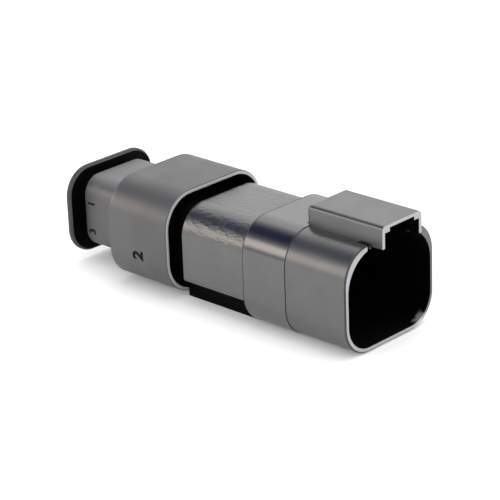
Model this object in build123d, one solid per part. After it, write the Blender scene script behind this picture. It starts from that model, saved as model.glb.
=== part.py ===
from build123d import *
import os

# Sealed four-way automotive connector: a pin receptacle with a boot adapter on its rear.
# Sizes are millimetres. The mating axis is X: the open mouth faces +X and the wires leave at -X.
# Stations along X are drawn back from the rim of the shroud, then everything is moved so that
# the origin is the middle of the whole length, on the surface the connector lies on. +Z is up.

# Shared layout of the four ways
axis_height = 9.5
pitch_across = 6.2
pitch_up = 6.0
ways = 4

# Shroud around the mouth, and the raised band behind it
shroud_width = 21.9
shroud_low = 0.1
shroud_high = 18.45
shroud_low_radius = 5.7
shroud_high_radius = 5.7
shroud_length = 12.8
shroud_wall = 0.75
band_proud = 0.1
band_length = 9.3
socket_depth = 21.0
socket_low_radius = 5.0
socket_high_radius = 6.4
rim_bevel = 0.22

# Latch bridge on top of the shroud
bridge_width = 9.7
bridge_high = 22.0
bridge_back = 13.3
bridge_overhang = 2.6
bridge_round = 0.8
bridge_root_round = 0.8
bridge_leg = 0.65
bridge_leg_drop = 0.3
bridge_slot_width = 0.55
bridge_slot_length = 2.2
bridge_roof = 0.6
bridge_step_width = 1.2
bridge_step_height = 0.65
tunnel_depth = 10.5
catch_from_front = 5.0
catch_length = 1.4
catch_drop = 0.8

# Waist between the band and the rear barrel
waist_width = 20.8
waist_low = 4.2
waist_high = 17.25
waist_low_radius = 0.8
waist_high_radius = 5.2
waist_length = 14.9
waist_back_bevel = 0.45

# Rails for a mounting clip, under the waist
rail_span = 14.0
rail_web = 1.5
rail_lip = 1.3
rail_lip_thickness = 1.1
rail_low = 0.0
rail_end_gap = 0.15

# Rear barrel, which holds the wire seal
barrel_width = 17.6
barrel_height = 12.8
barrel_radius = 3.6
barrel_wall = 1.1
barrel_length = 9.5
seal_floor = 1.5
snap_height = 0.35
snap_length = 1.0
snap_from_end = 1.3
snap_tall = 6.0

# Contact cavities and their locking fingers
cavity_radius = 1.5
nose_gap = 0.07
shoulder_seat = 7.0
finger_length = 7.6
finger_width = 2.2
finger_slit = 0.4
finger_slit_stop = 0.6
finger_lug_length = 1.0
slot_width = 11.4
slot_depth = 10.0

# Pin contacts, turned from bar
pin_radius = 0.79
pin_body_stand = 0.4
pin_tip_length = 0.7
pin_tip_radius = 0.32
pin_reach = 6.9
contact_body_radius = 1.05
contact_shoulder_radius = 1.42
contact_shoulder_length = 1.2
contact_barrel_radius = 1.2
contact_barrel_length = 7.2
contact_neck_radius = 0.95
crimp_bore_radius = 0.85
crimp_bore_depth = 6.2

# Wedge lock, pressed in through the mouth
wedge_plate_width = 13.6
wedge_plate_height = 12.4
wedge_plate_thickness = 1.7
wedge_plate_radius = 2.4
wedge_rim_width = 0.9
wedge_recess = 0.5
wedge_blade_length = 8.6
wedge_blade_taper = 2.0
wedge_tip_share = 0.6
pull_slot_width = 4.0
pull_slot_height = 1.2

# Wire seal
seal_rib_count = 2
seal_rib_height = 0.35
seal_rib_length = 1.4
seal_bore_radius = 0.95

# Boot adapter
sleeve_width = 23.6
sleeve_low = 0.65
sleeve_high = 18.85
sleeve_radius = 6.3
sleeve_wall = 0.65
sleeve_gap = 2.0
sleeve_length = 14.0
sleeve_open_depth = 4.0
guide_thickness = 1.8
wire_hole_radius = 2.0
neck_width = 15.6
neck_height = 13.1
neck_radius = 3.4
neck_wall = 1.1
neck_length = 11.3
lip_width = 20.4
lip_height = 15.9
lip_radius = 5.0
lip_thickness = 1.3
lip_bevel = 0.4
groove_length = 1.0
groove_depth = 0.5
groove_bevel = 0.3
sleeve_bevel = 0.25

# Clearances
sliding_gap = 0.12
assembly_gap = 0.1
touch_gap = 0.05
corner_flat = 0.1
plane_tolerance = 0.01
through = 1.0

# The neck of a contact just takes the lug of its finger
contact_neck_length = finger_lug_length + 2 * assembly_gap

# Stations along the mating axis, measured back from the rim
band_front = -shroud_length
band_back = band_front - band_length
waist_back = band_back - waist_length
barrel_back = waist_back - barrel_length
seal_front = waist_back - seal_floor
socket_floor = -socket_depth
wedge_front = socket_floor + wedge_plate_thickness
pin_tip = wedge_front + pin_reach
body_front = wedge_front - wedge_recess + pin_body_stand
shoulder_front = socket_floor - shoulder_seat
shoulder_back = shoulder_front - contact_shoulder_length
contact_back = shoulder_back - contact_neck_length - contact_barrel_length
sleeve_front = waist_back - sleeve_gap
sleeve_back = sleeve_front - sleeve_length
rail_back = sleeve_front + rail_end_gap
lip_front = sleeve_back - neck_length
lip_back = lip_front - lip_thickness
groove_front = lip_front + groove_length
guide_front = barrel_back - assembly_gap
guide_back = guide_front - guide_thickness

# The slot between the upper and lower fingers
finger_thickness = 0.8
slot_height = 2 * (pitch_up / 2 - cavity_radius - finger_thickness)
length_middle = (bridge_overhang + lip_back) / 2


def section(station, width, low, high, low_radius, high_radius):
    """A rectangle across the mating axis, with its own radius at the lower and upper corners."""
    largest = (min(width, high - low) - corner_flat) / 2
    low_radius = min(low_radius, largest)
    high_radius = min(high_radius, largest)
    flat = Pos(0, (low + high) / 2) * Rectangle(width, high - low)
    corners = flat.vertices().sort_by(Axis.Y)
    flat = fillet(corners[:2], low_radius)
    corners = [v for v in flat.vertices() if abs(v.Y - high) < plane_tolerance]
    flat = fillet(corners, high_radius)
    return Plane.YZ.offset(station) * flat


def bar(front, back, width, low, high, low_radius, high_radius):
    """A rounded bar along the mating axis, from its front station back to its rear one."""
    face = section(back, width, low, high, low_radius, high_radius)
    return extrude(face, front - back, dir=(1, 0, 0))


def centred_bar(front, back, width, height, radius):
    """A rounded bar centred on the mating axis."""
    low = axis_height - height / 2
    return bar(front, back, width, low, low + height, radius, radius)


def block(front, back, left, right, low, high):
    """A square-edged block between two stations."""
    size = Box(front - back, right - left, high - low)
    return Pos((front + back) / 2, (left + right) / 2, (low + high) / 2) * size


def way_centres():
    """The across and up places of the four ways, numbered row by row."""
    places = []
    for row in (1, -1):
        for side in (-1, 1):
            places.append((side * pitch_across / 2, axis_height + row * pitch_up / 2))
    return places[:ways]


def rod(front, back, radius, across, up):
    """A round bar along the mating axis."""
    circle = Plane.YZ.offset(back) * Pos(across, up) * Circle(radius)
    return extrude(circle, front - back, dir=(1, 0, 0))


def latch_bridge():
    """The solid of the bridge over the mouth, before its tunnel is cut."""
    body = block(
        bridge_overhang, -bridge_back, -bridge_width / 2, bridge_width / 2,
        shroud_high - bridge_leg_drop, bridge_high,
    )
    back_posts = body.edges().filter_by(Axis.Z).group_by(Axis.X)[0]
    roof = body.faces().sort_by(Axis.Z)[-1]
    roof_edges = [e for e in roof.edges() if e.center().X < bridge_overhang - plane_tolerance]
    return fillet(list(back_posts) + roof_edges, bridge_round)


def bridge_root():
    """The hollow blend between the rear wall of the bridge and the band."""
    half = bridge_width / 2 - bridge_round
    floor = shroud_high + band_proud
    back = -bridge_back - bridge_root_round
    fill = block(-bridge_back, back, -half, half, floor - bridge_leg_drop, floor + bridge_root_round)
    hollow = Pos(back, 0, floor + bridge_root_round) * Rot(90, 0, 0)
    return fill - hollow * Cylinder(bridge_root_round, 2 * half + through)


def bridge_slots():
    """The short slots beside the legs, which part them from the rim of the shroud."""
    slots = None
    for side in (-1, 1):
        inner = side * bridge_width / 2
        outer = side * (bridge_width / 2 + bridge_slot_width)
        slot = block(
            through, -bridge_slot_length, min(inner, outer), max(inner, outer),
            shroud_high - shroud_wall - through, shroud_high + through,
        )
        slots = slot if slots is None else slots + slot
    return slots


def bridge_tunnel():
    """The latch tunnel: wide between the legs, narrower under the roof."""
    front = bridge_overhang + through
    back = front - through - tunnel_depth
    half = bridge_width / 2 - bridge_leg
    roof = bridge_high - bridge_roof
    step = roof - bridge_step_height
    wide = block(front, back, -half, half, axis_height, step)
    narrow_half = half - bridge_step_width
    narrow = block(front, back, -narrow_half, narrow_half, step - through, roof)
    catch_front = bridge_overhang - catch_from_front
    catch = block(
        catch_front, catch_front - catch_length, -narrow_half, narrow_half,
        roof - catch_drop, roof + through,
    )
    return wide + (narrow - catch)


def shroud_and_band():
    """The front shell: shroud, raised band and the mouth that takes the plug."""
    shroud = bar(
        0, band_front, shroud_width, shroud_low, shroud_high,
        shroud_low_radius, shroud_high_radius,
    )
    rim = shroud.faces().sort_by(Axis.X)[-1]
    shroud = chamfer(rim.edges(), rim_bevel)
    band = bar(
        band_front, band_back, shroud_width + 2 * band_proud,
        shroud_low - band_proud, shroud_high + band_proud,
        shroud_low_radius + band_proud, shroud_high_radius + band_proud,
    )
    shell = shroud + band - bridge_slots() + latch_bridge() + bridge_root()
    socket = bar(
        through, socket_floor, shroud_width - 2 * shroud_wall,
        shroud_low + shroud_wall, shroud_high - shroud_wall,
        socket_low_radius, socket_high_radius,
    )
    return shell - socket - bridge_tunnel()


def clip_rails():
    """Two L-shaped rails under the waist that a mounting clip slides onto."""
    rails = None
    for side in (-1, 1):
        outer = side * rail_span / 2
        inner = side * (rail_span / 2 - rail_web)
        toe = side * (rail_span / 2 - rail_web - rail_lip)
        web = block(
            band_back, waist_back, min(outer, inner), max(outer, inner),
            rail_low, waist_low + waist_low_radius,
        )
        web += block(
            waist_back, rail_back, min(outer, inner), max(outer, inner),
            rail_low, waist_low,
        )
        lip = block(
            band_back, rail_back, min(inner, toe), max(inner, toe),
            rail_low, rail_low + rail_lip_thickness,
        )
        rail = web + lip
        rails = rail if rails is None else rails + rail
    return rails


def snap_lugs(grow):
    """The two lugs that hold the adapter on the barrel, grown for the pocket they snap into."""
    front = barrel_back + snap_from_end + snap_length + grow
    back = barrel_back + snap_from_end - grow
    half = barrel_width / 2
    lugs = None
    for side in (-1, 1):
        tip = side * (half + snap_height + grow)
        root = side * (half - barrel_wall / 2)
        lug = block(
            front, back, min(tip, root), max(tip, root),
            axis_height - snap_tall / 2 - grow, axis_height + snap_tall / 2 + grow,
        )
        lugs = lug if lugs is None else lugs + lug
    return lugs


def contact_cavity(across, up):
    """One stepped cavity: the wide end, the shoulder seat and the hole for the contact's body."""
    rear = rod(shoulder_front, seal_front - through, cavity_radius, across, up)
    front = rod(socket_floor + through, shoulder_front, contact_body_radius + nose_gap, across, up)
    return rear + front


def wedge_slot():
    """The flat slot along the axis that the blade of the wedge lock slides into."""
    return block(
        socket_floor + through, socket_floor - slot_depth, -slot_width / 2, slot_width / 2,
        axis_height - slot_height / 2, axis_height + slot_height / 2,
    )


def finger_slits(across, up):
    """Slits beside and behind one finger, which free it to flex into the slot."""
    toward_axis = -1 if up > axis_height else 1
    near = axis_height
    far = up + toward_axis * finger_slit_stop
    low, high = min(near, far), max(near, far)
    tip = shoulder_back - finger_lug_length - touch_gap
    root = tip + finger_length
    half = finger_width / 2
    slits = block(
        tip, tip - finger_slit, across - half - finger_slit, across + half + finger_slit, low, high,
    )
    for side in (-1, 1):
        inner = across + side * half
        outer = across + side * (half + finger_slit)
        slits += block(root, tip - finger_slit, min(inner, outer), max(inner, outer), low, high)
    return slits


def finger_lug(across, up):
    """The lug at the end of one finger, behind the shoulder of the contact."""
    toward_axis = -1 if up > axis_height else 1
    slot_side = axis_height - toward_axis * slot_height / 2
    reach = up + toward_axis * (contact_neck_radius + assembly_gap)
    front = shoulder_back - touch_gap
    half = finger_width / 2
    back = front - finger_lug_length
    lug = block(front, back, across - half, across + half, min(slot_side, reach), max(slot_side, reach))
    return lug & rod(front + through, back - through, cavity_radius + finger_thickness, across, up)


def receptacle_housing():
    """The moulded receptacle, from its mouth to the barrel that holds the seal."""
    waist = bar(
        band_back, waist_back, waist_width, waist_low, waist_high,
        waist_low_radius, waist_high_radius,
    )
    rear_edges = waist.faces().sort_by(Axis.X)[0].edges()
    waist = chamfer(rear_edges, waist_back_bevel)
    barrel = centred_bar(waist_back, barrel_back, barrel_width, barrel_height, barrel_radius)
    body = shroud_and_band() + waist + clip_rails() + barrel + snap_lugs(0)
    chamber = centred_bar(
        seal_front, barrel_back - through, barrel_width - 2 * barrel_wall,
        barrel_height - 2 * barrel_wall, barrel_radius - barrel_wall,
    )
    body -= chamber
    for across, up in way_centres():
        body -= contact_cavity(across, up)
    body -= wedge_slot()
    for across, up in way_centres():
        body -= finger_slits(across, up)
    for across, up in way_centres():
        body += finger_lug(across, up)
    return body


def pin_contact(across, up):
    """One turned pin contact: pin, body, shoulder, neck and crimp barrel."""
    neck_back = shoulder_back - contact_neck_length
    outline = Polyline(
        (pin_tip, 0),
        (pin_tip, pin_tip_radius),
        (pin_tip - pin_tip_length, pin_radius),
        (body_front, pin_radius),
        (body_front, contact_body_radius),
        (shoulder_front, contact_body_radius),
        (shoulder_front, contact_shoulder_radius),
        (shoulder_back, contact_shoulder_radius),
        (shoulder_back, contact_neck_radius),
        (neck_back, contact_neck_radius),
        (neck_back, contact_barrel_radius),
        (contact_back, contact_barrel_radius),
        (contact_back, crimp_bore_radius),
        (contact_back + crimp_bore_depth, crimp_bore_radius),
        (contact_back + crimp_bore_depth, 0),
        close=True,
    )
    contact = revolve(Plane.XZ * make_face(outline), Axis.X)
    return Pos(0, across, up) * contact


def wedge_lock():
    """The wedge lock: a face plate round the pins with a blade that backs up the fingers."""
    plate = centred_bar(
        wedge_front, socket_floor, wedge_plate_width, wedge_plate_height, wedge_plate_radius,
    )
    recess = centred_bar(
        wedge_front + through, wedge_front - wedge_recess,
        wedge_plate_width - 2 * wedge_rim_width, wedge_plate_height - 2 * wedge_rim_width,
        wedge_plate_radius - wedge_rim_width,
    )
    plate -= recess
    blade_half = slot_width / 2 - sliding_gap
    blade_rise = slot_height / 2 - sliding_gap
    tip = socket_floor - wedge_blade_length
    blade = block(
        socket_floor, tip, -blade_half, blade_half,
        axis_height - blade_rise, axis_height + blade_rise,
    )
    tip_edges = blade.faces().sort_by(Axis.X)[0].edges().filter_by(Axis.Y)
    blade = chamfer(tip_edges, blade_rise * wedge_tip_share, wedge_blade_taper)
    lock = plate + blade
    hole_radius = contact_body_radius + sliding_gap
    for across, up in way_centres():
        lock -= rod(wedge_front + through, socket_floor - through, hole_radius, across, up)
    lock -= block(
        wedge_front + through, socket_floor, -pull_slot_width / 2, pull_slot_width / 2,
        axis_height - pull_slot_height / 2, axis_height + pull_slot_height / 2,
    )
    return lock


def wire_seal():
    """The silicone wire seal, ribbed outside, with a snug bore for each wire."""
    width = barrel_width - 2 * barrel_wall - 2 * touch_gap
    height = barrel_height - 2 * barrel_wall - 2 * touch_gap
    radius = barrel_radius - barrel_wall - touch_gap
    core = centred_bar(
        seal_front, barrel_back, width - 2 * seal_rib_height,
        height - 2 * seal_rib_height, radius - seal_rib_height,
    )
    length = seal_front - barrel_back
    for n in range(seal_rib_count):
        middle = seal_front - length * (n + 0.5) / seal_rib_count
        core += centred_bar(
            middle + seal_rib_length / 2, middle - seal_rib_length / 2, width, height, radius,
        )
    for across, up in way_centres():
        core -= rod(seal_front + through, barrel_back - through, seal_bore_radius, across, up)
    return core


def boot_adapter():
    """The rear cover: a sleeve over the barrel, a wire guide, and a lipped neck for the boot."""
    sleeve = bar(
        sleeve_front, sleeve_back, sleeve_width, sleeve_low, sleeve_high,
        sleeve_radius, sleeve_radius,
    )
    sleeve = chamfer(sleeve.faces().sort_by(Axis.X)[0].edges(), sleeve_bevel)
    sleeve = chamfer(sleeve.faces().sort_by(Axis.X)[-1].edges(), sleeve_bevel)
    neck = centred_bar(sleeve_back, groove_front, neck_width, neck_height, neck_radius)
    neck = chamfer(neck.faces().sort_by(Axis.X)[0].edges(), groove_bevel)
    groove = centred_bar(
        sleeve_back, lip_front, neck_width - 2 * groove_depth,
        neck_height - 2 * groove_depth, neck_radius - groove_depth,
    )
    lip = centred_bar(lip_front, lip_back, lip_width, lip_height, lip_radius)
    lip = chamfer(lip.faces().sort_by(Axis.X)[-1].edges(), lip_bevel)
    lip = chamfer(lip.faces().sort_by(Axis.X)[0].edges(), lip_bevel)
    body = sleeve + neck + groove + lip
    open_front = bar(
        sleeve_front + through, sleeve_front - sleeve_open_depth, sleeve_width - 2 * sleeve_wall,
        sleeve_low + sleeve_wall, sleeve_high - sleeve_wall,
        sleeve_radius - sleeve_wall, sleeve_radius - sleeve_wall,
    )
    pocket = centred_bar(
        sleeve_front, guide_front, barrel_width + 2 * assembly_gap,
        barrel_height + 2 * assembly_gap, barrel_radius + assembly_gap,
    )
    tail = centred_bar(
        guide_back, lip_back - through, neck_width - 2 * neck_wall,
        neck_height - 2 * neck_wall, neck_radius - neck_wall,
    )
    body = body - open_front - pocket - tail - snap_lugs(assembly_gap)
    for across, up in way_centres():
        body -= rod(guide_front + through, guide_back - through, wire_hole_radius, across, up)
    return body


def all_pieces():
    """Every separate piece, by name."""
    pieces = {
        "receptacle_housing": receptacle_housing(),
        "boot_adapter": boot_adapter(),
        "wire_seal": wire_seal(),
        "wedge_lock": wedge_lock(),
    }
    for number, (across, up) in enumerate(way_centres(), start=1):
        pieces[f"pin_contact_{number}"] = pin_contact(across, up)
    return pieces


def main():
    """Builds every piece and writes one STEP file for each."""
    os.makedirs("parts", exist_ok=True)
    for name, piece in all_pieces().items():
        export_step(Pos(-length_middle, 0, 0) * piece, f"parts/{name}.step")


if __name__ == "__main__":
    main()
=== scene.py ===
"""Looks of a sealed four-way pin receptacle with its boot adapter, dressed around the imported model.

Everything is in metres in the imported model's own frame: X along the mating axis with the mouth at +X,
Z up, and the connector lying on z = 0.
"""

import logging
from dataclasses import dataclass
from enum import Enum
from math import cos, radians, sin, tau

import bmesh
import bpy
from mathutils import Matrix, Vector


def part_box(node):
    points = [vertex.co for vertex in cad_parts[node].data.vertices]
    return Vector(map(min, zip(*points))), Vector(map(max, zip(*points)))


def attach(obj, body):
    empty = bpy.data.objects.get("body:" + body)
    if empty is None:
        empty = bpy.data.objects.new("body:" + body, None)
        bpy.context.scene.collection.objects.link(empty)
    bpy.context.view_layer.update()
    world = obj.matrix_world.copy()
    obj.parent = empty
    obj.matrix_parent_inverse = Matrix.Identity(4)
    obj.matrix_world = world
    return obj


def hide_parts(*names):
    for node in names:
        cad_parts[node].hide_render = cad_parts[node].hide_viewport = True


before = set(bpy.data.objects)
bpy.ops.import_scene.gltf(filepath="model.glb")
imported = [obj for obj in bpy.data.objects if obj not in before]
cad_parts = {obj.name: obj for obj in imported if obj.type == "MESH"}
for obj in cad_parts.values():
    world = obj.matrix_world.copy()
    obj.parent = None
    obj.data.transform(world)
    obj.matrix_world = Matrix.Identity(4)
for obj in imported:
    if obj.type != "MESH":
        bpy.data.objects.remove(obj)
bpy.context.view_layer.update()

MM = 0.001

# The height of the mating axis above the floor
AXIS_MM = 9.5
# A zone with no limit of its own reaches past the whole connector
ALL_OVER_MM = (-50.0, 50.0)
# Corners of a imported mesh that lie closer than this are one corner
JOIN_MM = 0.001
# Nearly all of a noise texture's values lie between these two
NOISE_LOW = 0.3
NOISE_HIGH = 0.7
# A wave texture draws this many radians of its wave in one unit at scale one
WAVE_RADIANS = 20.0

logging.basicConfig(level=logging.INFO, format="%(message)s")
LOG = logging.getLogger("receptacle")


def linear(hex_colour: str) -> tuple[float, float, float, float]:
    """Turns an sRGB hex colour into the linear values that a shader socket takes.

    Args:
        hex_colour: six hex digits with a leading hash sign.

    Returns:
        Linear red, green and blue, and an alpha of one.
    """
    digits = hex_colour.lstrip("#")
    values = [int(digits[i:i + 2], 16) / 255.0 for i in (0, 2, 4)]
    curve = [v / 12.92 if v <= 0.04045 else ((v + 0.055) / 1.055) ** 2.4 for v in values]
    return curve[0], curve[1], curve[2], 1.0


def add_node(tree: bpy.types.NodeTree, kind: str, inputs: dict | None = None, **settings) -> bpy.types.Node:
    """Adds one node with its settings, values and links.

    Args:
        tree: the node tree that gets the node.
        kind: the node's type name.
        inputs: socket name or number to a value, or to an output socket that is linked in.
        settings: the node's own settings, such as operation.

    Returns:
        The new node.
    """
    node = tree.nodes.new(kind)
    for name, value in settings.items():
        setattr(node, name, value)
    for key, value in (inputs or {}).items():
        socket = node.inputs[key]
        if isinstance(value, bpy.types.NodeSocket):
            tree.links.new(value, socket)
        else:
            socket.default_value = value
    return node


def empty_material(name: str) -> tuple[bpy.types.Material, bpy.types.NodeTree]:
    """Makes a material with an empty node tree.

    Args:
        name: the material's name.

    Returns:
        The material and its tree.
    """
    material = bpy.data.materials.new(name)
    material.use_nodes = True
    material.node_tree.nodes.clear()
    return material, material.node_tree


def around(place_mm: float, reach_mm: float) -> tuple[float, float]:
    """The limits of a slice that reaches equally far on both sides of a place."""
    return place_mm - reach_mm, place_mm + reach_mm


def beside(place_mm: float, offsets_mm: tuple[float, float]) -> tuple[float, float]:
    """The limits of a slice that is set off from a place."""
    return place_mm + offsets_mm[0], place_mm + offsets_mm[1]


class Mark(Enum):
    """Light or shade that is painted on a stretch of skin.

    Painted shade darkens the skin and takes its sheen away. A painted highlight makes the skin pale.
    """

    NONE = "as moulded"
    PAINTED_SHADE = "painted_shade"
    PAINTED_HIGHLIGHT = "painted_highlight"


@dataclass(frozen=True)
class Zone:
    """A box of a moulding, in millimetres, whose skin differs from the rest.

    The mark, painted shade or a painted highlight, has a strength of one at most. A ragged zone has an
    uneven border.
    """

    along: tuple[float, float]
    across: tuple[float, float] = ALL_OVER_MM
    up: tuple[float, float] = ALL_OVER_MM
    mark: Mark = Mark.NONE
    strength: float = 1.0
    roughness: float | None = None
    ripple: float | None = None
    front_only: bool = False
    ragged_mm: float = 0.0


@dataclass(frozen=True)
class PartingLine:
    """The hair-thin ridge that the joint of two mould inserts leaves along the upper face."""

    start_mm: float
    end_mm: float
    across_mm: float
    above_mm: float
    width_mm: float = 0.12
    height_mm: float = 0.05


@dataclass(frozen=True)
class MouldedPlastic:
    """Black glass-filled thermoplastic, injection moulded in a polished steel mould.

    To the eye it is a near-black body under a resin-rich skin with a strong sheen. The skin is a little
    uneven along the flow, so a reflection breaks up at its border, and fine grain keeps it from being a
    mirror. Polished stretches of the mould leave a sharper reflection. Painted shade darkens the walls that
    look inwards, the sharp edges and the seams and takes their sheen away, and painted highlights make
    chosen rims pale.

    The real grain is finer than grain_mm. It is drawn as coarse as it needs to be to show. Normals are
    matched by their dot product: edge_match is where a seam's shade starts and where it is full, and a
    face looks to the front from front_match on.
    """

    name: str
    colour: str
    cloud_colour: str
    roughness: float
    painted_highlight_colour: str = "#c4c6ca"
    sheen: str = "#ffffff"
    cloud_sheen: str = "#e2e3e0"
    painted_shade_colour: str = "#020203"
    painted_shade_sheen: str = "#101012"
    painted_shade_roughness: float = 0.85
    inward_mm: float = 0.5
    ior: float = 1.7
    specular: float = 1.0
    edge_mm: float = 0.14
    edge_shade: float = 0.0
    edge_match: tuple[float, float] = (0.99, 0.9)
    front_match: float = 0.95
    grain_mm: float = 0.16
    grain_depth_mm: float = 0.006
    cloud_mm: float = 7.0
    cloud_roughness: float = 0.03
    rag_mm: float = 1.1
    ripple_mm: float = 0.7
    ripple_depth_mm: float = 0.1
    ripple: float = 0.1
    flow_stretch: float = 0.7
    zones: tuple[Zone, ...] = ()
    lines: tuple[PartingLine, ...] = ()

    def build(self) -> bpy.types.Material:
        """Builds the material's node tree."""
        material, tree = empty_material(self.name)
        place = add_node(tree, "ShaderNodeTexCoord").outputs["Object"]
        clouds = self.noise(tree, place, self.cloud_mm, detail=3.0)
        colour = self.blend(tree, clouds, linear(self.colour), linear(self.cloud_colour))
        roughness = add_node(
            tree, "ShaderNodeMapRange",
            {"Value": clouds, "From Min": NOISE_LOW, "From Max": NOISE_HIGH,
             "To Min": self.roughness - self.cloud_roughness,
             "To Max": self.roughness + self.cloud_roughness},
        ).outputs["Result"]
        ripple = self.number(tree, self.ripple)
        rounded = add_node(tree, "ShaderNodeBevel", {"Radius": self.edge_mm * MM}, samples=6).outputs[0]
        marks = {
            # Painted shade on the sharp edges and seams, and on the walls that look towards the mating axis
            Mark.PAINTED_SHADE: self.swap(tree, self.edges(tree, rounded), self.facing_in(tree, place), 1.0),
            Mark.PAINTED_HIGHLIGHT: self.number(tree, 0.0),
        }
        for zone in self.zones:
            inside = self.inside(tree, place, zone)
            if zone.roughness is not None:
                roughness = self.swap(tree, inside, roughness, zone.roughness)
            if zone.ripple is not None:
                ripple = self.swap(tree, inside, ripple, zone.ripple)
            if zone.mark in marks:
                amount = self.times(tree, inside, zone.strength)
                marks[zone.mark] = self.swap(tree, amount, marks[zone.mark], 1.0)
        # Painted shade darkens the colour, takes the sheen away and makes the skin rough; painted highlights
        # make it pale
        painted_shade = marks[Mark.PAINTED_SHADE]
        colour = self.blend(tree, painted_shade, colour, linear(self.painted_shade_colour))
        colour = self.blend(tree, marks[Mark.PAINTED_HIGHLIGHT], colour, linear(self.painted_highlight_colour))
        sheen = self.blend(tree, clouds, linear(self.sheen), linear(self.cloud_sheen))
        sheen = self.blend(tree, painted_shade, sheen, linear(self.painted_shade_sheen))
        shader = add_node(
            tree, "ShaderNodeBsdfPrincipled",
            {"Base Color": colour, "Roughness": self.swap(tree, painted_shade, roughness, self.painted_shade_roughness),
             "IOR": self.ior, "Specular IOR Level": self.specular, "Specular Tint": sheen,
             "Normal": self.surface(tree, place, rounded, ripple)},
        )
        add_node(tree, "ShaderNodeOutputMaterial", {"Surface": shader.outputs["BSDF"]})
        return material

    def inside(self, tree: bpy.types.NodeTree, place: bpy.types.NodeSocket,
               zone: Zone) -> bpy.types.NodeSocket:
        """Finds a zone.

        Args:
            tree: the material's tree.
            place: the object coordinates.
            zone: the zone.

        Returns:
            One in the zone, and zero elsewhere.
        """
        if zone.ragged_mm:
            reach = zone.ragged_mm * MM
            stir = add_node(
                tree, "ShaderNodeTexNoise",
                {"Vector": place, "Scale": 1 / (self.rag_mm * MM), "Detail": 5.0},
            ).outputs["Color"]
            stir = add_node(
                tree, "ShaderNodeMapping",
                {"Vector": stir, "Scale": (reach,) * 3, "Location": (-reach / 2,) * 3},
            ).outputs["Vector"]
            place = add_node(tree, "ShaderNodeVectorMath", {0: place, 1: stir}, operation="ADD").outputs[0]
        parts = add_node(tree, "ShaderNodeSeparateXYZ", {"Vector": place}).outputs
        soft = zone.ragged_mm / 3
        mask = self.between(tree, parts["X"], *zone.along, soft)
        mask = self.times(tree, mask, self.between(tree, parts["Y"], *zone.across, soft))
        mask = self.times(tree, mask, self.between(tree, parts["Z"], *zone.up, soft))
        if zone.front_only:
            facing = add_node(tree, "ShaderNodeNewGeometry").outputs["Normal"]
            forward = add_node(tree, "ShaderNodeSeparateXYZ", {"Vector": facing}).outputs["X"]
            front = add_node(
                tree, "ShaderNodeMath", {0: forward, 1: self.front_match}, operation="GREATER_THAN",
            )
            mask = self.times(tree, mask, front.outputs[0])
        return mask

    def facing_in(self, tree: bpy.types.NodeTree, place: bpy.types.NodeSocket) -> bpy.types.NodeSocket:
        """Finds the walls that look towards the mating axis, such as the inside of the mouth.

        Args:
            tree: the material's tree.
            place: the object coordinates.

        Returns:
            One on such walls, and zero elsewhere.
        """
        outward = add_node(
            tree, "ShaderNodeMapping",
            {"Vector": place, "Location": (0.0, 0.0, -AXIS_MM * MM), "Scale": (0.0, 1.0, 1.0)},
        ).outputs["Vector"]
        facing = add_node(tree, "ShaderNodeNewGeometry").outputs["Normal"]
        match = add_node(tree, "ShaderNodeVectorMath", {0: outward, 1: facing}, operation="DOT_PRODUCT")
        limit = -self.inward_mm * MM
        return add_node(
            tree, "ShaderNodeMath", {0: match.outputs["Value"], 1: limit}, operation="LESS_THAN",
        ).outputs[0]

    def edges(self, tree: bpy.types.NodeTree, rounded: bpy.types.NodeSocket) -> bpy.types.NodeSocket:
        """Finds the sharp edges and seams, which get painted shade.

        Args:
            tree: the material's tree.
            rounded: the normal with its edges rounded.

        Returns:
            A mask that is zero on flat walls and rises on the edges.
        """
        flat = add_node(tree, "ShaderNodeNewGeometry").outputs["Normal"]
        match = add_node(tree, "ShaderNodeVectorMath", {0: rounded, 1: flat}, operation="DOT_PRODUCT")
        return add_node(
            tree, "ShaderNodeMapRange",
            {"Value": match.outputs["Value"], "From Min": self.edge_match[0],
             "From Max": self.edge_match[1], "To Max": self.edge_shade},
        ).outputs["Result"]

    def surface(self, tree: bpy.types.NodeTree, place: bpy.types.NodeSocket, normal: bpy.types.NodeSocket,
                ripple: bpy.types.NodeSocket) -> bpy.types.NodeSocket:
        """Layers the slow ripple, the grain and the parting lines on the skin.

        Args:
            tree: the material's tree.
            place: the object coordinates.
            normal: the normal with its edges rounded.
            ripple: how strong the ripple is at each place.

        Returns:
            The normal of the finished skin.
        """
        flow = add_node(
            tree, "ShaderNodeMapping", {"Vector": place, "Scale": (self.flow_stretch, 1.0, 1.0)},
        ).outputs["Vector"]
        wave = self.noise(tree, flow, self.ripple_mm, detail=4.0)
        normal = self.bump(tree, normal, self.times(tree, wave, ripple), self.ripple_depth_mm)
        grain = self.noise(tree, place, self.grain_mm, detail=2.0)
        normal = self.bump(tree, normal, grain, self.grain_depth_mm)
        parts = add_node(tree, "ShaderNodeSeparateXYZ", {"Vector": place}).outputs
        across = add_node(tree, "ShaderNodeMath", {0: parts["Y"]}, operation="ABSOLUTE").outputs[0]
        for line in self.lines:
            half = line.width_mm / 2
            ridge = self.between(tree, across, *around(line.across_mm, half))
            upper = self.between(tree, parts["Z"], line.above_mm, 2 * line.above_mm)
            stretch = self.between(tree, parts["X"], line.start_mm, line.end_mm)
            mask = self.times(tree, self.times(tree, ridge, upper), stretch)
            normal = self.bump(tree, normal, mask, line.height_mm)
        return normal

    @staticmethod
    def noise(tree: bpy.types.NodeTree, place: bpy.types.NodeSocket, size_mm: float,
              detail: float) -> bpy.types.NodeSocket:
        """Adds even noise.

        Args:
            tree: the material's tree.
            place: the coordinates that the noise lies on.
            size_mm: about how wide its blotches are.
            detail: how many finer layers it has.

        Returns:
            The noise, mostly between NOISE_LOW and NOISE_HIGH.
        """
        return add_node(
            tree, "ShaderNodeTexNoise",
            {"Vector": place, "Scale": 1 / (size_mm * MM), "Detail": detail, "Roughness": 0.55},
        ).outputs["Fac"]

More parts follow.
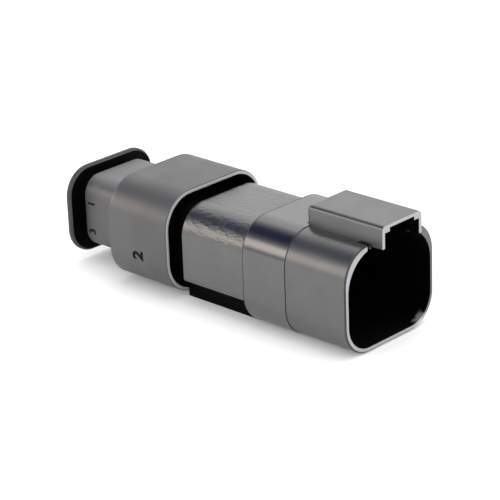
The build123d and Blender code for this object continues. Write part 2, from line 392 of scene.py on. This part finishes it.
    @staticmethod
    def between(tree: bpy.types.NodeTree, value: bpy.types.NodeSocket, low_mm: float, high_mm: float,
                soft_mm: float = 0.0) -> bpy.types.NodeSocket:
        """Finds where a coordinate lies between two places.

        Args:
            tree: the material's tree.
            value: the coordinate.
            low_mm: the first place.
            high_mm: the second place.
            soft_mm: how far the border fades on each side, or zero for a hard one.

        Returns:
            One between the places, and zero elsewhere.
        """
        middle = (low_mm + high_mm) / 2 * MM
        half = abs(high_mm - low_mm) / 2 * MM
        if not soft_mm:
            return add_node(
                tree, "ShaderNodeMath", {0: value, 1: middle, 2: half}, operation="COMPARE",
            ).outputs[0]
        off = add_node(tree, "ShaderNodeMath", {0: value, 1: middle}, operation="SUBTRACT").outputs[0]
        off = add_node(tree, "ShaderNodeMath", {0: off}, operation="ABSOLUTE").outputs[0]
        return add_node(
            tree, "ShaderNodeMapRange",
            {"Value": off, "From Min": half + soft_mm * MM, "From Max": half - soft_mm * MM},
            interpolation_type="SMOOTHSTEP",
        ).outputs["Result"]

    @staticmethod
    def number(tree: bpy.types.NodeTree, value: float) -> bpy.types.NodeSocket:
        """A plain number as an output socket."""
        node = add_node(tree, "ShaderNodeValue")
        node.outputs[0].default_value = value
        return node.outputs[0]

    @staticmethod
    def times(tree: bpy.types.NodeTree, first: bpy.types.NodeSocket,
              second: float | bpy.types.NodeSocket) -> bpy.types.NodeSocket:
        """One value times another, which may be a number or a socket."""
        return add_node(tree, "ShaderNodeMath", {0: first, 1: second}, operation="MULTIPLY").outputs[0]

    @staticmethod
    def swap(tree: bpy.types.NodeTree, inside: bpy.types.NodeSocket, old: bpy.types.NodeSocket,
             new: float) -> bpy.types.NodeSocket:
        """The new value inside a zone and the old one outside it."""
        mix = add_node(tree, "ShaderNodeMix", {"Factor": inside, "A": old, "B": new}, data_type="FLOAT")
        return mix.outputs[0]

    @staticmethod
    def blend(tree: bpy.types.NodeTree, factor: bpy.types.NodeSocket, first: object,
              second: object) -> bpy.types.NodeSocket:
        """Mixes two colours.

        Args:
            tree: the tree that gets the node.
            factor: how much of the second colour shows.
            first: the colour at zero, as a value or a socket.
            second: the colour at one, as a value or a socket.

        Returns:
            The mixed colour.
        """
        mix = add_node(tree, "ShaderNodeMix", data_type="RGBA")
        tree.links.new(factor, mix.inputs[0])
        for socket, value in ((mix.inputs[6], first), (mix.inputs[7], second)):
            if isinstance(value, bpy.types.NodeSocket):
                tree.links.new(value, socket)
            else:
                socket.default_value = value
        return mix.outputs[2]

    @staticmethod
    def bump(tree: bpy.types.NodeTree, normal: bpy.types.NodeSocket, height: bpy.types.NodeSocket,
             depth_mm: float) -> bpy.types.NodeSocket:
        """Adds one layer of relief.

        Args:
            tree: the material's tree.
            normal: the normal that it lies on.
            height: the relief, from zero to one.
            depth_mm: how deep the relief is.

        Returns:
            The normal with the relief.
        """
        return add_node(
            tree, "ShaderNodeBump",
            {"Height": height, "Distance": depth_mm * MM, "Strength": 1.0, "Normal": normal},
        ).outputs["Normal"]


@dataclass(frozen=True)
class SiliconeRubber:
    """Moulded silicone rubber: a matt, slightly dusty skin with almost no grain."""

    name: str = "silicone_rubber_moulded"
    colour: str = "#2a2c30"
    roughness: float = 0.6
    ior: float = 1.42
    dust_mm: float = 0.9
    dust_roughness: float = 0.08

    def build(self) -> bpy.types.Material:
        """Builds the material's node tree."""
        material, tree = empty_material(self.name)
        place = add_node(tree, "ShaderNodeTexCoord").outputs["Object"]
        dust = add_node(
            tree, "ShaderNodeTexNoise",
            {"Vector": place, "Scale": 1 / (self.dust_mm * MM), "Detail": 4.0},
        )
        roughness = add_node(
            tree, "ShaderNodeMapRange",
            {"Value": dust.outputs["Fac"], "To Min": self.roughness - self.dust_roughness,
             "To Max": self.roughness + self.dust_roughness},
        )
        shader = add_node(
            tree, "ShaderNodeBsdfPrincipled",
            {"Base Color": linear(self.colour), "Roughness": roughness.outputs["Result"], "IOR": self.ior},
        )
        add_node(tree, "ShaderNodeOutputMaterial", {"Surface": shader.outputs["BSDF"]})
        return material


@dataclass(frozen=True)
class NickelPlate:
    """Nickel plating on a turned copper-alloy pin: bright, with fine rings left by the lathe tool.

    The real rings are finer than ring_mm. They are drawn as coarse as they need to be to show.
    """

    name: str = "nickel_plated_turned_pin"
    colour: str = "#c9c3b6"
    roughness: float = 0.22
    ring_mm: float = 0.1776
    ring_depth_mm: float = 0.002

    def build(self) -> bpy.types.Material:
        """Builds the material's node tree."""
        material, tree = empty_material(self.name)
        place = add_node(tree, "ShaderNodeTexCoord").outputs["Object"]
        rings = add_node(
            tree, "ShaderNodeTexWave",
            {"Vector": place, "Scale": tau / (WAVE_RADIANS * self.ring_mm * MM), "Distortion": 0.4},
            wave_type="BANDS", bands_direction="X",
        )
        bump = add_node(
            tree, "ShaderNodeBump",
            {"Height": rings.outputs["Fac"], "Distance": self.ring_depth_mm * MM, "Strength": 0.6},
        )
        shader = add_node(
            tree, "ShaderNodeBsdfPrincipled",
            {"Base Color": linear(self.colour), "Metallic": 1.0, "Roughness": self.roughness,
             "Normal": bump.outputs["Normal"]},
        )
        add_node(tree, "ShaderNodeOutputMaterial", {"Surface": shader.outputs["BSDF"]})
        return material


@dataclass(frozen=True)
class SweepPaper:
    """White sweep paper under and behind the connector: matte, with the connector's soft shadow on it.

    It can be seen through from below, so that the connector's underside can be looked at.
    """

    name: str = "white_sweep_paper"
    colour: str = "#f4f4f4"
    glow: float = 0.07

    def build(self) -> bpy.types.Material:
        """Builds the material's node tree."""
        material, tree = empty_material(self.name)
        path = add_node(tree, "ShaderNodeLightPath")
        seen = add_node(
            tree, "ShaderNodeMath",
            {0: path.outputs["Is Camera Ray"], 1: path.outputs["Is Glossy Ray"]}, operation="MAXIMUM",
        )
        seen = add_node(
            tree, "ShaderNodeMath",
            {0: seen.outputs[0], 1: path.outputs["Is Transmission Ray"]}, operation="MAXIMUM",
        )
        glow = add_node(tree, "ShaderNodeMath", {0: seen.outputs[0], 1: self.glow}, operation="MULTIPLY")
        paper = add_node(tree, "ShaderNodeBsdfDiffuse", {"Color": linear(self.colour)})
        light = add_node(tree, "ShaderNodeEmission", {"Strength": glow.outputs[0]})
        both = add_node(tree, "ShaderNodeAddShader", {0: paper.outputs[0], 1: light.outputs[0]})
        below = add_node(tree, "ShaderNodeNewGeometry").outputs["Backfacing"]
        clear = add_node(tree, "ShaderNodeBsdfTransparent")
        sheet = add_node(
            tree, "ShaderNodeMixShader", {0: below, 1: both.outputs[0], 2: clear.outputs[0]},
        )
        add_node(tree, "ShaderNodeOutputMaterial", {"Surface": sheet.outputs[0]})
        return material


def dress(node: str, material: bpy.types.Material) -> None:
    """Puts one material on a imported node.

    Args:
        node: the node's name.
        material: the finish that its slots get.
    """
    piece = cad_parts[node]
    for slot in piece.material_slots:
        slot.material = material
    LOG.info("%s gets %s", node, material.name)


@dataclass
class SealLips:
    """The four thin lips inside the rear ends of the seal's bores, which close on the wires."""

    name: str = "seal_bore_lips"
    pitch_across_mm: float = 6.2
    pitch_up_mm: float = 6.0
    bore_mm: float = 0.95
    lip_mm: float = 0.2
    set_in_mm: float = 0.45
    segments: int = 32
    profile_segments: int = 12

    def tree(self, material: bpy.types.Material) -> bpy.types.NodeTree:
        """Builds the Geometry Nodes tree that stands one lip in each bore.

        Args:
            material: the finish of the lips.

        Returns:
            The node tree, with its sizes as named inputs.
        """
        tree = bpy.data.node_groups.new("seal_lips", "GeometryNodeTree")
        tree.interface.new_socket("Geometry", in_out="OUTPUT", socket_type="NodeSocketGeometry")
        for name in ("Pitch Across", "Pitch Up", "Bore Radius", "Lip Radius"):
            tree.interface.new_socket(name, in_out="INPUT", socket_type="NodeSocketFloat")
        for name in ("Place", "Turn"):
            tree.interface.new_socket(name, in_out="INPUT", socket_type="NodeSocketVector")
        sizes = add_node(tree, "NodeGroupInput").outputs
        ways = add_node(
            tree, "GeometryNodeMeshGrid",
            {"Size X": sizes["Pitch Up"], "Size Y": sizes["Pitch Across"], "Vertices X": 2, "Vertices Y": 2},
        )
        ring = add_node(
            tree, "GeometryNodeCurvePrimitiveCircle",
            {"Radius": sizes["Bore Radius"], "Resolution": self.segments},
        )
        section = add_node(
            tree, "GeometryNodeCurvePrimitiveCircle",
            {"Radius": sizes["Lip Radius"], "Resolution": self.profile_segments},
        )
        lip = add_node(
            tree, "GeometryNodeCurveToMesh",
            {"Curve": ring.outputs["Curve"], "Profile Curve": section.outputs["Curve"]},
        )
        lips = add_node(
            tree, "GeometryNodeInstanceOnPoints",
            {"Points": ways.outputs["Mesh"], "Instance": lip.outputs["Mesh"]},
        )
        real = add_node(tree, "GeometryNodeRealizeInstances", {"Geometry": lips.outputs["Instances"]})
        stood = add_node(
            tree, "GeometryNodeTransform",
            {"Geometry": real.outputs["Geometry"], "Translation": sizes["Place"], "Rotation": sizes["Turn"]},
        )
        smooth = add_node(tree, "GeometryNodeSetShadeSmooth", {"Geometry": stood.outputs["Geometry"]})
        dressed = add_node(
            tree, "GeometryNodeSetMaterial", {"Geometry": smooth.outputs["Geometry"], "Material": material},
        )
        add_node(tree, "NodeGroupOutput", {"Geometry": dressed.outputs["Geometry"]})
        return tree

    def build(self, material: bpy.types.Material) -> bpy.types.Object:
        """Makes the lips as one plain mesh in the seal.

        Args:
            material: the finish of the lips.

        Returns:
            The finished piece.
        """
        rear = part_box("wire_seal")[0].x + self.set_in_mm * MM
        values = {
            "Pitch Across": self.pitch_across_mm * MM, "Pitch Up": self.pitch_up_mm * MM,
            "Bore Radius": self.bore_mm * MM, "Lip Radius": self.lip_mm * MM,
            "Place": (rear, 0.0, AXIS_MM * MM), "Turn": (0.0, radians(90.0), 0.0),
        }
        holder = bpy.data.objects.new(self.name, bpy.data.meshes.new(self.name))
        bpy.context.scene.collection.objects.link(holder)
        maker = holder.modifiers.new("lips", "NODES")
        maker.node_group = self.tree(material)
        for item in maker.node_group.interface.items_tree:
            if item.in_out == "INPUT":
                maker[item.identifier] = values[item.name]
        piece = plain_copy(holder, self.name)
        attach(piece, "connector")
        LOG.info("%s stand in the seal's bores", self.name)
        return piece


def plain_copy(holder: bpy.types.Object, name: str) -> bpy.types.Object:
    """Turns a curve or an object with modifiers into a plain mesh object, and removes the first one.

    Args:
        holder: the object to turn.
        name: the name of the plain one.

    Returns:
        The plain mesh object, linked to the scene.
    """
    bpy.context.view_layer.update()
    mesh = bpy.data.meshes.new_from_object(holder.evaluated_get(bpy.context.evaluated_depsgraph_get()))
    bpy.data.objects.remove(holder)
    mesh.name = name
    piece = bpy.data.objects.new(name, mesh)
    bpy.context.scene.collection.objects.link(piece)
    return piece


def join_doubles(mesh: bpy.types.Mesh, turn_out: bool = False) -> None:
    """Joins the loose faces of a closed shell that is in millimetres.

    Args:
        mesh: the shell.
        turn_out: whether its faces are turned outwards too.
    """
    shape = bmesh.new()
    shape.from_mesh(mesh)
    bmesh.ops.remove_doubles(shape, verts=shape.verts, dist=JOIN_MM)
    if turn_out:
        bmesh.ops.recalc_face_normals(shape, faces=shape.faces)
    shape.to_mesh(mesh)
    shape.free()


@dataclass
class Receptacle:
    """The receptacle: its moulded housing, the four contacts, the wedge lock and the wire seal.

    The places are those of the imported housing. A face slice is thin enough to hold one flat face only.
    """

    ways: int = 4
    near_side_mm: float = -12.0
    face_mm: float = 0.04
    band_mm: tuple[float, float] = (9.4, 18.7)
    seam_mm: tuple[float, float] = (9.35, 9.6)
    waist_mm: tuple[float, float] = (-5.5, 9.4)
    parting_mm: float = 4.4
    parting_above_mm: float = 16.0
    rail_mm: tuple[float, float] = (-7.6, 9.35)
    rail_up_mm: tuple[float, float] = (-1.0, 4.15)
    barrel_mm: tuple[float, float] = (-15.5, -5.05)
    # Where painted shade lies on the waist's top beside the sleeve's mouth
    gap_shade_mm: tuple[float, float] = (-9.0, -5.0)
    gap_shade_up_mm: tuple[float, float] = (15.5, 20.0)
    gap_shade_ragged_mm: float = 2.2
    rim_mm: float = 31.5
    rim_line_mm: tuple[float, float] = (-0.24, -0.03)
    rim_line_up_mm: tuple[float, float] = (-1.0, 18.3)
    lower_rim_far_mm: float = 8.0
    lower_rim_up_mm: tuple[float, float] = (-1.0, 5.0)
    bridge_front_mm: float = 34.1
    tunnel_half_mm: float = 4.8
    tunnel_mm: tuple[float, float] = (-10.5, 0.06)
    tunnel_up_mm: tuple[float, float] = (14.0, 20.6)
    # Where a painted highlight lies just inside the mouth's lower rim
    mouth_glint_mm: tuple[float, float] = (-0.9, 0.5)
    mouth_glint_across_mm: tuple[float, float] = (6.6, 10.2)
    mouth_glint_up_mm: tuple[float, float] = (-0.6, 2.0)
    mouth_glint_ragged_mm: float = 1.3

    def body_zones(self) -> tuple[Zone, ...]:
        """The polished band and waist, and painted shade along the seam between them, on the rails, on the
        barrel and on the waist's top beside the sleeve's mouth.
        """
        return (
            Zone(self.band_mm, roughness=0.2, ripple=0.05),
            Zone(self.waist_mm, roughness=0.27, ripple=1.1),
            # Painted shade along the seam, on the rails under the waist and on the barrel in the sleeve's
            # gap
            Zone(self.seam_mm, mark=Mark.PAINTED_SHADE, strength=0.45),
            Zone(self.rail_mm, up=self.rail_up_mm, mark=Mark.PAINTED_SHADE, ripple=0.0),
            Zone(self.barrel_mm, mark=Mark.PAINTED_SHADE, ripple=0.0),
            # Painted shade on the waist's top at its rear end, beside the sleeve's mouth
            Zone(
                self.gap_shade_mm, up=self.gap_shade_up_mm, mark=Mark.PAINTED_SHADE, strength=0.9,
                ragged_mm=self.gap_shade_ragged_mm,
            ),
        )

    def mouth_zones(self) -> tuple[Zone, ...]:
        """Painted shade in the tunnel under the bridge, painted highlights on the rims' faces, on the
        bridge's front and just inside the lower rim, and a thin painted shade behind the near rim.
        """
        rim, half = self.rim_mm, self.tunnel_half_mm
        rim_face = around(rim, self.face_mm)
        near_half = (self.near_side_mm, -half)
        return (
            Zone(beside(rim, self.tunnel_mm), (-half, half), self.tunnel_up_mm, Mark.PAINTED_SHADE),
            Zone(rim_face, near_half, mark=Mark.PAINTED_HIGHLIGHT, strength=0.5, front_only=True),
            Zone(
                rim_face, (-half, self.lower_rim_far_mm), self.lower_rim_up_mm, Mark.PAINTED_HIGHLIGHT, 0.5,
                front_only=True,
            ),
            Zone(around(self.bridge_front_mm, self.face_mm), mark=Mark.PAINTED_HIGHLIGHT, strength=0.5, front_only=True),
            Zone(beside(rim, self.rim_line_mm), near_half, self.rim_line_up_mm, Mark.PAINTED_SHADE, 0.45),
            Zone(
                beside(rim, self.mouth_glint_mm), self.mouth_glint_across_mm, self.mouth_glint_up_mm, Mark.PAINTED_HIGHLIGHT, 0.32,
                ragged_mm=self.mouth_glint_ragged_mm,
            ),
        )

    def shell(self) -> MouldedPlastic:
        """The housing's finish, with painted shade on its sharp edges and seams."""
        return MouldedPlastic(
            name="glass_filled_polyester_moulded", colour="#0d0e11", cloud_colour="#121316",
            roughness=0.34, edge_shade=0.7, zones=self.body_zones() + self.mouth_zones(),
            lines=(PartingLine(*self.waist_mm, self.parting_mm, self.parting_above_mm),),
        )

    def wedge(self) -> MouldedPlastic:
        """The wedge lock's finish."""
        return MouldedPlastic(
            name="polyester_moulded_wedge", colour="#141517", cloud_colour="#191a1c", roughness=0.5,
        )

    def build(self) -> None:
        """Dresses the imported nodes."""
        dress("receptacle_housing", self.shell().build())
        dress("wedge_lock", self.wedge().build())
        rubber = SiliconeRubber().build()
        dress("wire_seal", rubber)
        SealLips().build(rubber)
        plate = NickelPlate().build()
        for number in range(1, self.ways + 1):
            dress(f"pin_contact_{number}", plate)


@dataclass(frozen=True)
class EngravedNumber:
    """A plain number that the mould sinks into the near side wall, which faces -Y.

    A digit is digit_share of its type size high, and its cutter stands out of the wall by outside_mm.
    """

    text: str
    name: str
    along_mm: float
    up_mm: float
    height_mm: float
    wall_mm: float
    bold_mm: float
    depth_mm: float = 0.22
    outside_mm: float = 0.5
    digit_share: float = 0.7
    curve_steps: int = 4

    def cutter(self, material: bpy.types.Material) -> bpy.types.Object:
        """Makes the solid that is cut out of the wall, in millimetres.

        Args:
            material: the finish of the sunk faces.

        Returns:
            The cutter, which goes once the wall is cut.
        """
        curve = bpy.data.curves.new(self.name, "FONT")
        curve.body = self.text
        curve.size = self.height_mm / self.digit_share
        curve.offset = self.bold_mm
        curve.resolution_u = self.curve_steps
        curve.extrude = (self.depth_mm + self.outside_mm) / 2
        curve.align_x = "CENTER"
        curve.align_y = "CENTER"
        holder = bpy.data.objects.new(self.name, curve)
        bpy.context.scene.collection.objects.link(holder)
        cutter = plain_copy(holder, self.name)
        join_doubles(cutter.data, turn_out=True)
        middle = -(self.wall_mm + (self.outside_mm - self.depth_mm) / 2)
        stand = Matrix.Rotation(radians(90.0), 4, "X")
        turn = Matrix.Rotation(radians(90.0), 4, "Z")
        cutter.data.transform(Matrix.Translation((self.along_mm, middle, self.up_mm)) @ stand @ turn)
        cutter.data.materials.clear()
        cutter.data.materials.append(material)
        return cutter


@dataclass
class BootAdapter:
    """The boot adapter: sleeve, neck and lip in one moulding, with plain numbers on its near side.

    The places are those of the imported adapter.
    """

    name: str = "boot_adapter_numbered"
    neck_wall_mm: float = 7.8
    sleeve_wall_mm: float = 11.8
    neck_number_mm: float = 1.6
    sleeve_number_mm: float = 2.3
    groove_mm: tuple[float, float] = (-32.85, -31.82)
    neck_end_mm: tuple[float, float] = (-31.81, -31.5)
    neck_end_up_mm: tuple[float, float] = (13.0, 18.0)
    neck_top_mm: tuple[float, float] = (-31.8, -21.0)
    neck_top_up_mm: tuple[float, float] = (15.1, 18.0)
    neck_top_ragged_mm: float = 1.5
    pocket_mm: tuple[float, float] = (-12.5, -7.7)
    lip_mm: tuple[float, float] = (-34.2, -32.75)
    sleeve_front_mm: float = -7.5
    sleeve_rim_mm: tuple[float, float] = (-0.06, 0.04)
    smooth_deg: float = 30.0

    def numbers(self) -> tuple[EngravedNumber, ...]:
        """The numbers on the neck and on the sleeve."""
        return (
            EngravedNumber(
                "1", "neck_number_upper", along_mm=-30.0, up_mm=11.6, height_mm=self.neck_number_mm,
                wall_mm=self.neck_wall_mm, bold_mm=0.09,
            ),
            EngravedNumber(
                "3", "neck_number_lower", along_mm=-30.1, up_mm=6.4, height_mm=self.neck_number_mm,
                wall_mm=self.neck_wall_mm, bold_mm=0.07,
            ),
            EngravedNumber(
                "2", "sleeve_number", along_mm=-14.4, up_mm=7.1, height_mm=self.sleeve_number_mm,
                wall_mm=self.sleeve_wall_mm, bold_mm=0.14,
            ),
        )

    def shell(self) -> MouldedPlastic:
        """The adapter's finish, with painted shade in the groove, the pocket and on the lip, and painted
        highlights on its neck's end and top and on the sleeve's rim.
        """
        return MouldedPlastic(
            name="polyamide_moulded_adapter", colour="#121316", cloud_colour="#18191c", roughness=0.48,
            ior=1.64,
            zones=(
                # Painted shade in the groove, on the lip and in the pocket; painted highlights on the neck
                # and the sleeve's rim
                Zone(self.groove_mm, mark=Mark.PAINTED_SHADE),
                Zone(self.neck_end_mm, up=self.neck_end_up_mm, mark=Mark.PAINTED_HIGHLIGHT, strength=0.3),
                Zone(
                    self.neck_top_mm, up=self.neck_top_up_mm, mark=Mark.PAINTED_HIGHLIGHT, strength=0.09,
                    ragged_mm=self.neck_top_ragged_mm,
                ),
                Zone(self.pocket_mm, mark=Mark.PAINTED_SHADE, front_only=True),
                Zone(self.lip_mm, mark=Mark.PAINTED_SHADE, strength=0.35),
                Zone(beside(self.sleeve_front_mm, self.sleeve_rim_mm), mark=Mark.PAINTED_HIGHLIGHT, strength=0.6),
            ),
        )

    def sunk(self) -> MouldedPlastic:
        """The finish of the sunk faces of the numbers: matt, and darker than the body as painted shade in
        the recesses.
        """
        return MouldedPlastic(
            name="polyamide_moulded_number", colour="#050506", cloud_colour="#080809", roughness=0.8,
            specular=0.2,
        )

    def build(self) -> None:
        """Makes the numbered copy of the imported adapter, which stands for it."""
        dress("boot_adapter", self.shell().build())
        body = self.merged_copy()
        sunk = self.sunk().build()
        for number in self.numbers():
            body = self.cut(body, number.cutter(sunk))
            LOG.info("%s is a number %s mm high", number.name, number.height_mm)
        body.name = self.name
        body.data.name = self.name
        body.data.transform(Matrix.Scale(MM, 4))
        body.data.shade_smooth()
        body.data.set_sharp_from_angle(angle=radians(self.smooth_deg))
        even = body.modifiers.new("even_walls", "WEIGHTED_NORMAL")
        even.keep_sharp = True
        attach(body, "connector")
        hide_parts("boot_adapter")

    def merged_copy(self) -> bpy.types.Object:
        """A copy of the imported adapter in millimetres, with its loose triangles joined."""
        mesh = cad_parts["boot_adapter"].data.copy()
        for layer in [a for a in mesh.attributes if a.name == "custom_normal"]:
            mesh.attributes.remove(layer)
        mesh.transform(Matrix.Scale(1 / MM, 4))
        join_doubles(mesh)
        body = bpy.data.objects.new(self.name, mesh)
        bpy.context.scene.collection.objects.link(body)
        return body

    def cut(self, body: bpy.types.Object, cutter: bpy.types.Object) -> bpy.types.Object:
        """Cuts one solid out of the body.

        Args:
            body: the piece that is cut.
            cutter: the solid, which is removed afterwards.

        Returns:
            The cut piece.
        """
        sink = body.modifiers.new("sink", "BOOLEAN")
        sink.operation = "DIFFERENCE"
        sink.solver = "EXACT"
        sink.material_mode = "TRANSFER"
        sink.object = cutter
        body = plain_copy(body, self.name)
        bpy.data.objects.remove(cutter)
        return body


def towards(azimuth_deg: float, elevation_deg: float) -> Vector:
    """The unit vector to a place in the room.

    Args:
        azimuth_deg: the angle round from -Y, towards +X.
        elevation_deg: the angle above the floor.

    Returns:
        The vector from the connector to that place.
    """
    a, e = radians(azimuth_deg), radians(elevation_deg)
    return Vector((sin(a) * cos(e), -cos(a) * cos(e), sin(e)))


@dataclass
class PhotoCamera:
    """The camera that was fitted to the photograph."""

    azimuth_deg: float = 43.956
    elevation_deg: float = 22.15
    roll_deg: float = -2.155
    distance_mm: float = 375.671
    target_mm: tuple[float, float, float] = (0.727, -0.08, 8.184)
    focal_px: float = 2219.466
    frame_px: float = 500.0
    sensor_mm: float = 36.0
    clip_mm: tuple[float, float] = (10.0, 20000.0)

    def build(self) -> None:
        """Makes the camera and hands it to the scene."""
        a, r = radians(self.azimuth_deg), radians(self.roll_deg)
        back = towards(self.azimuth_deg, self.elevation_deg)
        level = Vector((cos(a), sin(a), 0.0))
        upright = back.cross(level)
        right = level * cos(r) + upright * sin(r)
        up = upright * cos(r) - level * sin(r)
        data = bpy.data.cameras.new("photo_camera")
        data.sensor_width = self.sensor_mm
        data.lens = self.sensor_mm * self.focal_px / self.frame_px
        data.clip_start, data.clip_end = (limit * MM for limit in self.clip_mm)
        camera = bpy.data.objects.new("photo_camera", data)
        place = (Vector(self.target_mm) + back * self.distance_mm) * MM
        turn = Matrix((right, up, back)).transposed().to_4x4()
        camera.matrix_world = Matrix.Translation(place) @ turn
        bpy.context.scene.collection.objects.link(camera)
        bpy.context.scene.camera = camera


@dataclass(frozen=True)
class SoftBox:
    """One soft light aimed at the connector."""

    name: str
    azimuth_deg: float
    elevation_deg: float
    distance_mm: float
    width_mm: float
    height_mm: float
    watts: float
    colour: str = "#ffffff"
    aim_mm: tuple[float, float, float] = (0.0, 0.0, 8.0)

    def build(self) -> None:
        """Makes the light."""
        away = towards(self.azimuth_deg, self.elevation_deg)
        data = bpy.data.lights.new(self.name, "AREA")
        data.shape = "RECTANGLE"
        data.size = self.width_mm * MM
        data.size_y = self.height_mm * MM
        data.energy = self.watts
        data.color = linear(self.colour)[:3]
        lamp = bpy.data.objects.new(self.name, data)
        lamp.location = (Vector(self.aim_mm) + away * self.distance_mm) * MM
        lamp.rotation_euler = away.to_track_quat("Z", "Y").to_euler()
        bpy.context.scene.collection.objects.link(lamp)


@dataclass
class Studio:
    """A white sweep in a white room, with a soft key box low on the left and a dark blue flag above it.

    The key box makes the bright streak along the upper rounded corners, and the flag the dark one over it.
    The room is darker at the horizon, where the sweep ends, and that sets off the streak from below. A
    large box overhead lifts the upper faces.
    """

    floor_mm: float = 4000.0
    floor_drop_mm: float = 0.02
    room_colour: str = "#ffffff"
    flag_colour: str = "#1a2c58"
    room_strength: float = 1.57
    flag_azimuth_deg: float = -67.0
    flag_elevation_deg: float = 47.0
    flag_core_deg: float = 9.0
    flag_edge_deg: float = 32.0
    horizon_deg: float = 2.0
    horizon_edge_deg: float = 10.0
    horizon_shade: float = 0.35
    boxes: tuple[SoftBox, ...] = (
        SoftBox(
            "key_box", azimuth_deg=-44.0, elevation_deg=19.0, distance_mm=700.0, width_mm=620.0,
            height_mm=220.0, watts=0.92, colour="#ffe9dc",
        ),
        SoftBox(
            "top_box", azimuth_deg=0.0, elevation_deg=89.0, distance_mm=1300.0, width_mm=800.0,
            height_mm=800.0, watts=3.0,
        ),
    )

    def build(self) -> None:
        """Makes the floor, the world and the lights."""
        half = self.floor_mm / 2 * MM
        drop = -self.floor_drop_mm * MM
        mesh = bpy.data.meshes.new("studio_floor")
        corners = [(-half, -half, drop), (half, -half, drop), (half, half, drop), (-half, half, drop)]
        mesh.from_pydata(corners, [], [(0, 1, 2, 3)])
        mesh.materials.append(SweepPaper().build())
        floor = bpy.data.objects.new("studio_floor", mesh)
        bpy.context.scene.collection.objects.link(floor)
        self.light_world()
        for box in self.boxes:
            box.build()
        bpy.context.scene.view_settings.view_transform = "Standard"

    def light_world(self) -> None:
        """Plain white where the camera looks, and elsewhere the room with its flag and its horizon."""
        world = bpy.data.worlds.new("studio_world")
        bpy.context.scene.world = world
        world.use_nodes = True
        tree = world.node_tree
        tree.nodes.clear()
        path = add_node(tree, "ShaderNodeLightPath")
        heading = add_node(tree, "ShaderNodeTexCoord").outputs["Generated"]
        flag = towards(self.flag_azimuth_deg, self.flag_elevation_deg)
        near = add_node(tree, "ShaderNodeVectorMath", {0: heading, 1: flag}, operation="DOT_PRODUCT")
        flagged = add_node(
            tree, "ShaderNodeMapRange",
            {"Value": near.outputs["Value"], "From Min": cos(radians(self.flag_edge_deg)),
             "From Max": cos(radians(self.flag_core_deg))},
        ).outputs["Result"]
        shade = MouldedPlastic.blend(tree, flagged, linear(self.room_colour), linear(self.flag_colour))
        height = add_node(tree, "ShaderNodeSeparateXYZ", {"Vector": heading}).outputs["Z"]
        strength = add_node(
            tree, "ShaderNodeMapRange",
            {"Value": height, "From Min": sin(radians(self.horizon_deg)),
             "From Max": sin(radians(self.horizon_edge_deg)),
             "To Min": self.room_strength * self.horizon_shade, "To Max": self.room_strength},
            interpolation_type="SMOOTHSTEP",
        ).outputs["Result"]
        room = add_node(tree, "ShaderNodeBackground", {"Color": shade, "Strength": strength})
        white = add_node(tree, "ShaderNodeBackground", {"Color": (1, 1, 1, 1), "Strength": 1.0})
        mix = add_node(
            tree, "ShaderNodeMixShader",
            {0: path.outputs["Is Camera Ray"], 1: room.outputs[0], 2: white.outputs[0]},
        )
        add_node(tree, "ShaderNodeOutputWorld", {"Surface": mix.outputs[0]})


def main() -> None:
    """Builds the studio, the camera and each sub-assembly in order."""
    PhotoCamera().build()
    Studio().build()
    Receptacle().build()
    BootAdapter().build()


if __name__ == "__main__":
    main()
